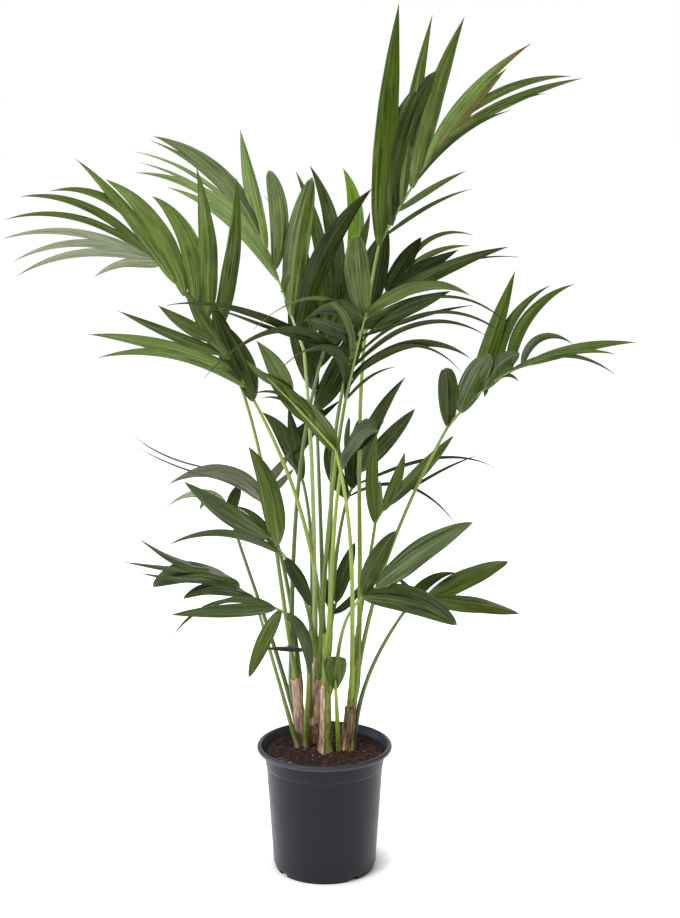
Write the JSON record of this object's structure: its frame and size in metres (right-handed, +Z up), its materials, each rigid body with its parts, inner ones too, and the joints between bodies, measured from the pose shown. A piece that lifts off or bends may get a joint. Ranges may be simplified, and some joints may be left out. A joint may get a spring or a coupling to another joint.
{
  "type": "potted kentia palm",
  "caption": "Kentia palm with slender stems, long leaf stalks and feathered fronds, standing in a round tapered nursery pot filled with soil.",
  "frame": {"origin": "middle of the pot's flat underside, where it stands", "axes": "+Z up, along the plant's height; +X to the plant's right; +Y to its back"},
  "size_m": [1.0483, 0.8771, 1.5169],
  "materials": {
    "pot_plastic": "satin",
    "soil": "matte",
    "stem": "matte",
    "petiole": "satin",
    "frond": "satin"
  },
  "bodies": {
    "root": {"pot": "pot_plastic", "soil": "soil", "stem_left": "stem", "stem_rear": "stem", "stem_middle": "stem", "stem_right": "stem", "petiole_upper_left": "petiole", "petiole_left_middle": "petiole", "petiole_back_left": "petiole", "petiole_back_middle": "petiole", "petiole_top_right": "petiole", "petiole_centre": "petiole", "petiole_front_left": "petiole", "petiole_far_right": "petiole", "petiole_back_right": "petiole", "petiole_right_middle": "petiole", "petiole_right_low": "petiole", "petiole_right_low_back": "petiole", "petiole_left_front": "petiole", "petiole_left_low": "petiole", "petiole_left_low_front": "petiole", "petiole_left_low_back": "petiole", "petiole_small_front": "petiole", "petiole_centre_low": "petiole", "petiole_back_low_left": "petiole", "petiole_back_low": "petiole", "petiole_back_high_right": "petiole", "petiole_back_left_low": "petiole", "petiole_back_upper": "petiole", "petiole_low_side": "petiole", "frond_upper_left": "frond", "frond_left_middle": "frond", "frond_back_left": "frond", "frond_back_middle": "frond", "frond_top_right": "frond", "frond_centre": "frond", "frond_front_left": "frond", "frond_far_right": "frond", "frond_back_right": "frond", "frond_right_middle": "frond", "frond_right_low": "frond", "frond_right_low_back": "frond", "frond_left_front": "frond", "frond_left_low": "frond", "frond_left_low_front": "frond", "frond_left_low_back": "frond", "frond_small_front": "frond", "frond_centre_low": "frond", "frond_back_low_left": "frond", "frond_back_low": "frond", "frond_back_high_right": "frond", "frond_back_left_low": "frond", "frond_back_upper": "frond", "frond_low_side": "frond"}
  },
  "joints": []
}
